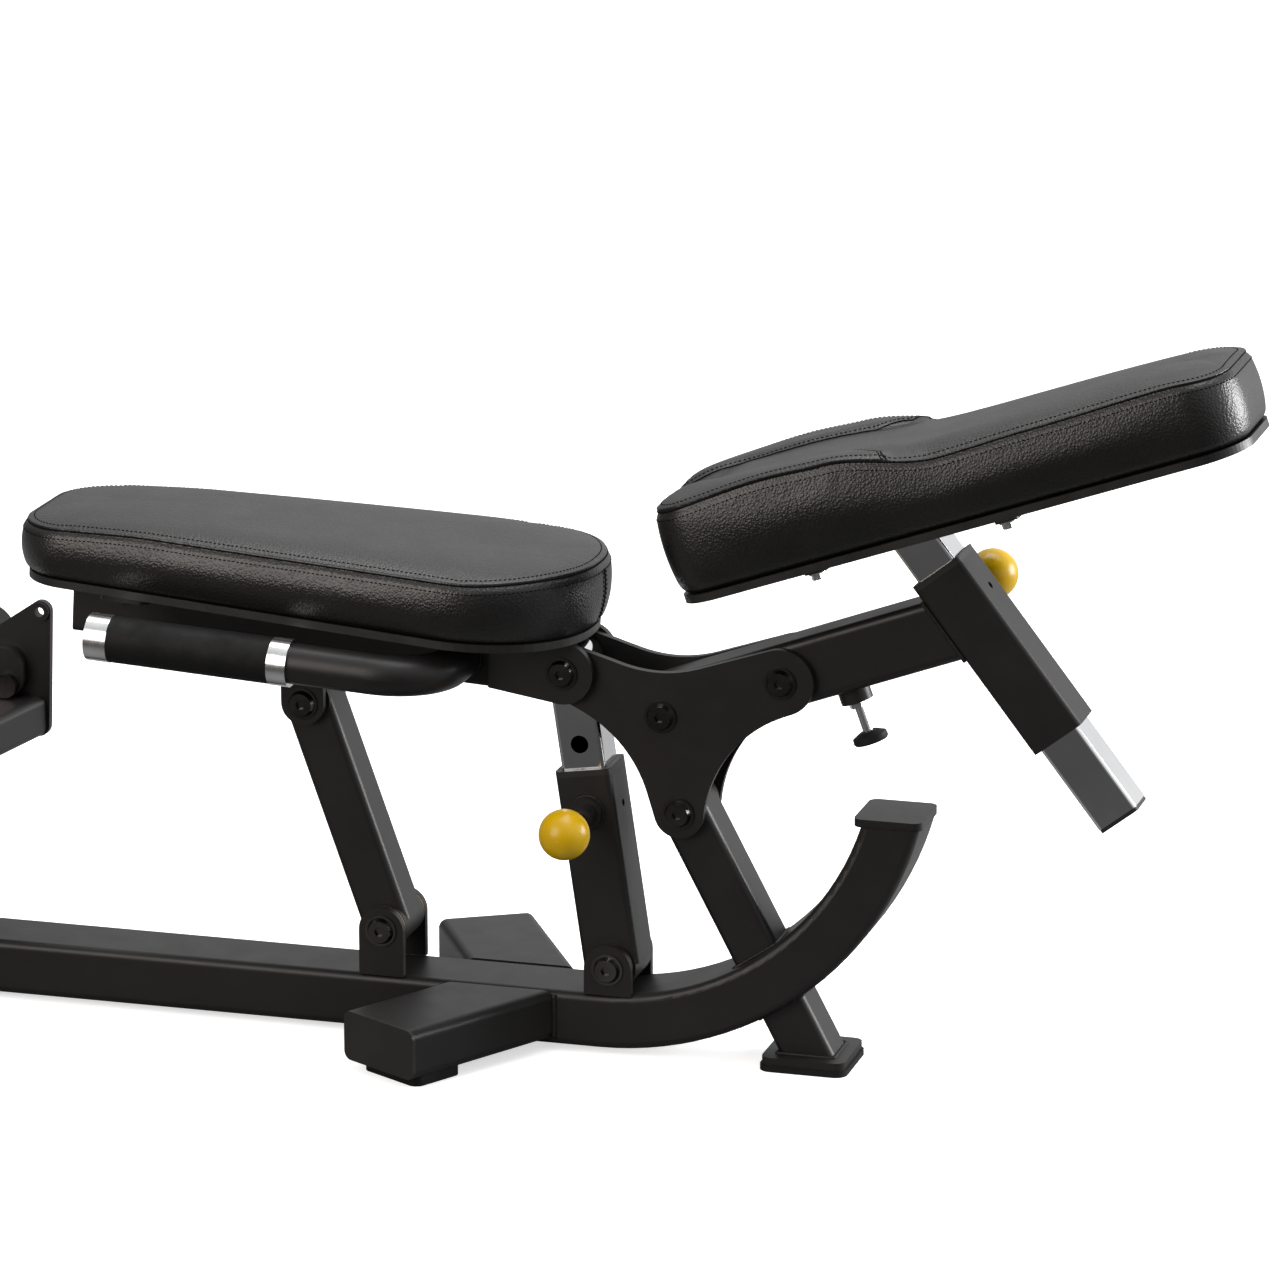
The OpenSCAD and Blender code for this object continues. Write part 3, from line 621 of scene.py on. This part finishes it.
def foam_roller(name, cad_node, body):
    """Foam tube with rounded, slightly swollen ends."""
    low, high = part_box(cad_node)
    centre = (low + high) / 2
    half = (high.y - low.y) / 2
    outer = (high.z - low.z) / 2
    bore = 0.0127
    edge = 0.009
    profile = [(bore, -half + 0.002), (bore + 0.006, -half)]
    for k in range(7):
        a = math.pi / 2 * k / 6
        profile.append((outer - edge + edge * math.sin(a), -half + edge - edge * math.cos(a)))
    for k in range(1, 12):
        profile.append((outer - 0.0006 * math.sin(math.pi * k / 12), (-half + edge) * (1 - k / 6)))
    for k in range(7):
        a = math.pi / 2 * k / 6
        profile.append((outer - edge + edge * math.cos(a), half - edge + edge * math.sin(a)))
    profile += [(bore + 0.006, half), (bore, half - 0.002)]
    around = 72
    bm = bmesh.new()
    rows = []
    for radius, y in profile:
        row = []
        for k in range(around):
            a = 2 * math.pi * k / around
            row.append(bm.verts.new((radius * math.cos(a), y, radius * math.sin(a))))
        rows.append(row)
    for lower, upper in zip(rows, rows[1:] + rows[:1]):
        for k in range(around):
            m = (k + 1) % around
            bm.faces.new((lower[k], lower[m], upper[m], upper[k]))
    bmesh.ops.recalc_face_normals(bm, faces=bm.faces)
    mesh = bpy.data.meshes.new(name)
    bm.to_mesh(mesh)
    bm.free()
    shade_smooth(mesh)
    mesh.transform(Matrix.Translation(centre))
    piece = new_object(name, mesh, FOAM, body)
    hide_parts(cad_node)


foam_roller("foam_left", "roller_left", "left_roller")
foam_roller("foam_right", "roller_right", "right_roller")


# ---- Weld beads ----

def weld(name, points, body, radius=0.0019, closed=False):
    """A rippled fillet bead along a path where two steel parts meet."""
    path = [Vector(p) for p in points]
    if closed:
        path.append(path[0])
    rng = random.Random(len(name) * 17 + len(path))
    spots = []
    for a, b in zip(path, path[1:]):
        count = max(2, int((b - a).length / 0.0022))
        spots += [a.lerp(b, k / count) for k in range(count)]
    spots.append(path[-1])
    sizes = [radius * (1 + 0.08 * math.cos(2.1 * k) + rng.uniform(-0.03, 0.03))
             for k in range(len(spots))]
    new_object(name, tube_mesh(name, spots, sizes), BEAD, body)


def ring_points(centre, radius, axis, count=40):
    """Points round a circle about an axis through its centre."""
    axis = Vector(axis).normalized()
    side = axis.orthogonal().normalized()
    up = axis.cross(side)
    turns = (2 * math.pi * k / count for k in range(count))
    return [Vector(centre) + (side * math.cos(a) + up * math.sin(a)) * radius for a in turns]


def box_points(place, half_u, half_v):
    """Corners of a rectangle in the XY plane of a frame."""
    corners = ((-1, -1), (1, -1), (1, 1), (-1, 1))
    return [place @ Vector((a * half_u, b * half_v, 0)) for a, b in corners]


def both_sides(name, body, points, **extra):
    """The same bead on the near side, as given, and mirrored on the far side."""
    for side, label in ((1, "near"), (-1, "far")):
        weld(f"weld_{name}_{label}", [(p[0], side * p[1], p[2]) for p in points], body, **extra)


# Frames whose Z runs up the post's sleeve, from its top, and up the strut, from its foot.
POST = local_frame(0.4104, 0.5119, 37.9)
STRUT = local_frame(0.088, 0.089, 8.42)
BEAM_HIGH = 0.062
BEAM_SIDE = 0.040
LEG_HALF = 0.0256

# The ears stand on the beam's upper corners.
for ear_node in ("link_ears", "strut_ears"):
    low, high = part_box(ear_node)
    both_sides(ear_node, "frame", [(low.x, -0.0325, BEAM_HIGH), (high.x, -0.0325, BEAM_HIGH)])

# Each outrigger butts against the beam's side, and its two upright edges are welded.
for x, label in ((-0.0835, "front"), (0.0335, "rear")):
    both_sides("outrigger_" + label, "frame",
               [(x, -BEAM_SIDE, 0.014), (x, -BEAM_SIDE, BEAM_HIGH - 0.004)], radius=0.0026)

# The leg stands on its foot plate, and passes through the curved tail.
leg_head, leg_dir = Vector((0.1589, 0, 0.2531)), Vector((0.4695, 0, -0.8829))
across = Vector((-leg_dir.z, 0, leg_dir.x))
tail_centre = Vector((0.078, 0, 0.3385))


def leg_meets_arc(offset, radius):
    """Where a line along the leg, to one side of its axis, meets an arc of the tail."""
    start = leg_head + across * offset - tail_centre
    along = start.dot(leg_dir)
    reach = -along + math.sqrt(max(0.0, along * along - start.dot(start) + radius * radius))
    return leg_head + across * offset + leg_dir * reach


foot = local_frame(0.286, 0.014, 0)
weld("weld_leg_foot", box_points(foot, 0.0290, LEG_HALF), "frame", closed=True)
for radius, label in ((0.2768, "above"), (0.3327, "below")):
    front, rear = (leg_meets_arc(offset, radius) for offset in (-LEG_HALF, LEG_HALF))
    turns = ((front, -1), (rear, -1), (rear, 1), (front, 1))
    loop = [(p.x, side * LEG_HALF, p.z) for p, side in turns]
    weld("weld_leg_" + label, loop, "frame", closed=True)

# The arm's tube ends on the sleeve's lower face.
arm_end = POST @ Matrix.Translation((-0.0288, 0, -0.0519)) @ Matrix.Rotation(math.pi / 2, 4, "Y")
weld("weld_arm_end", box_points(arm_end, 0.0340, 0.0272), "back_arm", closed=True)

# The handles join the seat's rail, and the pull pins their sleeves.
for side, label in ((-1, "near"), (1, "far")):
    ring = ring_points((-0.105, side * 0.0376, 0), 0.0205, (0, 1, 0))
    weld("weld_handle_" + label, [SEAT @ p for p in ring], "seat", closed=True)
for name, place, side, along, body in (
    ("strut", STRUT, -1, 0.158, "strut_lower"),
    ("post", POST, 1, -0.042, "back_arm"),
):
    ring = ring_points((0, side * 0.0288, along), 0.0163, (0, 1, 0))
    weld("weld_pin_" + name, [place @ p for p in ring], body, radius=0.0015, closed=True)


# ---- Stage ----

def shade_by_direction(tree, value, start, end, dark, light):
    """Grey that runs from dark to light, except that the camera sees plain white."""
    ramp = tree.nodes.new("ShaderNodeMapRange")
    for key, number in zip(("From Min", "From Max", "To Min", "To Max"), (start, end, dark, light)):
        ramp.inputs[key].default_value = number
    tree.links.new(value, ramp.inputs["Value"])
    is_camera = tree.nodes.new("ShaderNodeLightPath").outputs["Is Camera Ray"]
    mix = tree.nodes.new("ShaderNodeMix")
    tree.links.new(is_camera, mix.inputs["Factor"])
    tree.links.new(ramp.outputs[0], mix.inputs["A"])
    return mix, is_camera


def material_of_stage():
    """White floor. In reflections its near side is dark, as beyond the edge of a sweep."""
    mat = bpy.data.materials.new("floor")
    mat.use_nodes = True
    tree = mat.node_tree
    place = tree.nodes.new("ShaderNodeSeparateXYZ")
    coords = tree.nodes.new("ShaderNodeTexCoord")
    tree.links.new(coords.outputs["Object"], place.inputs[0])
    mix, is_camera = shade_by_direction(tree, place.outputs["Y"], -0.9, 0.2, 0.035, 0.30)
    mix.inputs["B"].default_value = 0.95
    bsdf = tree.nodes["Principled BSDF"]
    glow = tree.nodes.new("ShaderNodeMath")
    glow.operation = "MULTIPLY"
    glow.inputs[1].default_value = 0.62
    tree.links.new(is_camera, glow.inputs[0])
    tree.links.new(glow.outputs[0], bsdf.inputs["Emission Strength"])
    bsdf.inputs["Emission Color"].default_value = (1, 1, 1, 1)
    tree.links.new(mix.outputs["Result"], bsdf.inputs["Base Color"])
    bsdf.inputs["Roughness"].default_value = 0.9
    bsdf.inputs["Specular IOR Level"].default_value = 0.1
    return mat


def add_floor():
    mesh = bpy.data.meshes.new("floor")
    size = 3.4  # half of its side
    mesh.from_pydata([(-size, -size, 0), (size, -size, 0), (size, size, 0), (-size, size, 0)],
                     [], [(0, 1, 2, 3)])
    mesh.materials.append(material_of_stage())
    floor = bpy.data.objects.new("floor", mesh)
    bpy.context.scene.collection.objects.link(floor)
    floor.location.z = -0.0002


def softbox(name, location, target, width, height, watts, tint=(1, 1, 1)):
    """Rectangular lamp that lights the part but is not seen by the camera."""
    data = bpy.data.lights.new(name, "AREA")
    data.shape = "RECTANGLE"
    data.size, data.size_y = width, height
    data.energy = watts
    data.color = tint
    lamp = bpy.data.objects.new(name, data)
    lamp.location = location
    lamp.visible_camera = False
    aim = Vector(target) - Vector(location)
    lamp.rotation_euler = aim.to_track_quat("-Z", "Y").to_euler()
    bpy.context.scene.collection.objects.link(lamp)


def add_world():
    """Bright room with a dark near side, white where the camera sees it."""
    world = bpy.data.worlds.new("studio")
    world.use_nodes = True
    bpy.context.scene.world = world
    tree = world.node_tree
    coords = tree.nodes.new("ShaderNodeTexCoord")
    towards = tree.nodes.new("ShaderNodeVectorMath")
    towards.operation = "DOT_PRODUCT"
    towards.inputs[1].default_value = (0.45, 0.35, 0.82)
    tree.links.new(coords.outputs["Generated"], towards.inputs[0])
    mix, _ = shade_by_direction(tree, towards.outputs["Value"], 0.0, 0.6, 0.16, 0.92)
    mix.inputs["B"].default_value = 1.1
    background = tree.nodes["Background"]
    background.inputs["Color"].default_value = (1, 1, 1, 1)
    tree.links.new(mix.outputs["Result"], background.inputs["Strength"])


add_floor()
add_world()
softbox("top_light", (0.2, 0.3, 3.4), (0, 0, 0.4), 3.2, 2.0, 80)
softbox("right_light", (3.29, 1.4, 1.04), (0.6, 0, 0.6), 1.8, 1.4, 130)
softbox("near_light", (-1.6, -2.8, 1.6), (0, 0, 0.4), 2.2, 2.2, 68,
        tint=(1.0, 0.93, 0.88))
bpy.context.scene.view_settings.view_transform = "Standard"
